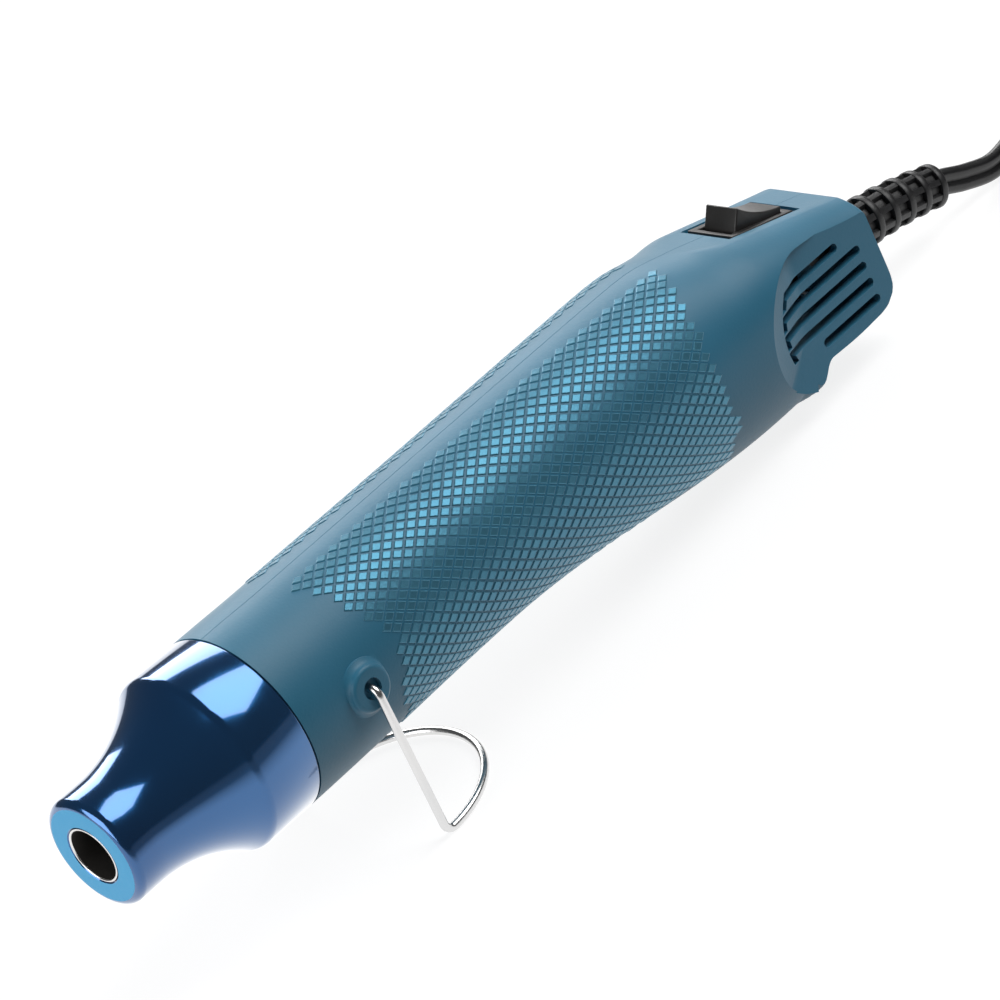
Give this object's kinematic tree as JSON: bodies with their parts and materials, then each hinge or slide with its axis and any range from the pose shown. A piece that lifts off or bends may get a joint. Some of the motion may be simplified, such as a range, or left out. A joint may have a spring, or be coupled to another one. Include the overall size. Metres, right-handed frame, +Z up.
{
  "type": "embossing heat tool",
  "caption": "Slim hand-held heat tool for embossing, with flared metal nozzle, gripped housing, rocker switch, folding wire stand and corded plug.",
  "frame": {"origin": "centre of the bottom of the tool's box on its stand, cord and plug not counted", "axes": "+X from the outlet towards the cord, +Z up, with the tool resting on its stand"},
  "size_m": [0.3782, 0.0852, 0.0638],
  "materials": {
    "housing": "satin",
    "nozzle_metal": "gloss",
    "bright_steel": "satin",
    "mica": "matte",
    "heating_wire": "satin",
    "black_plastic": "satin",
    "black_rubber": "matte",
    "magnet": "matte",
    "copper_winding": "satin",
    "contact_brass": "satin",
    "board": "satin",
    "white_plastic": "satin"
  },
  "bodies": {
    "tool": {"housing_left": "housing", "housing_right": "housing", "nozzle": "nozzle_metal", "outlet_tube": "bright_steel", "mica_sleeve": "mica", "heater_former": "mica", "heating_coil": "heating_wire", "heater_disc": "mica", "thermal_cutout": "bright_steel", "motor_mount": "black_plastic", "motor_can": "bright_steel", "motor_magnets": "magnet", "motor_end_cap": "white_plastic", "motor_terminals": "contact_brass", "rectifier_board": "board", "rectifier_diodes": "black_plastic", "switch_body": "black_plastic", "switch_terminals": "contact_brass", "housing_screws": "bright_steel", "strain_relief": "black_rubber", "cord_clamp": "black_plastic", "clamp_screws": "bright_steel", "lead_wires": "black_rubber", "cord_tube": "black_rubber", "cord_coil": "black_rubber", "cord_tail": "black_rubber", "cord_tie": "black_plastic", "plug_body": "black_rubber", "plug_blades": "contact_brass"},
    "stand": {"stand_wire": "bright_steel"},
    "switch_rocker": {"rocker": "black_plastic"},
    "rotor": {"motor_shaft": "bright_steel", "motor_armature": "copper_winding", "fan": "black_plastic"}
  },
  "joints": [
    {"name": "stand_fold", "type": "hinge", "parent": "tool", "child": "stand", "pos_m": [-0.07001, 0, 0.0393], "axis": [0, 1, 0], "range_deg": [-20, 90]},
    {"name": "switch_tip", "type": "hinge", "parent": "tool", "child": "switch_rocker", "pos_m": [0.08164, 0, 0.03833], "axis": [0, 1, 0], "range_deg": [-32, 0]},
    {"name": "rotor_spin", "type": "hinge", "parent": "tool", "child": "rotor", "pos_m": [0.00131, 0, 0.03424], "axis": [0.9975, 0, -0.0708], "continuous": true}
  ]
}
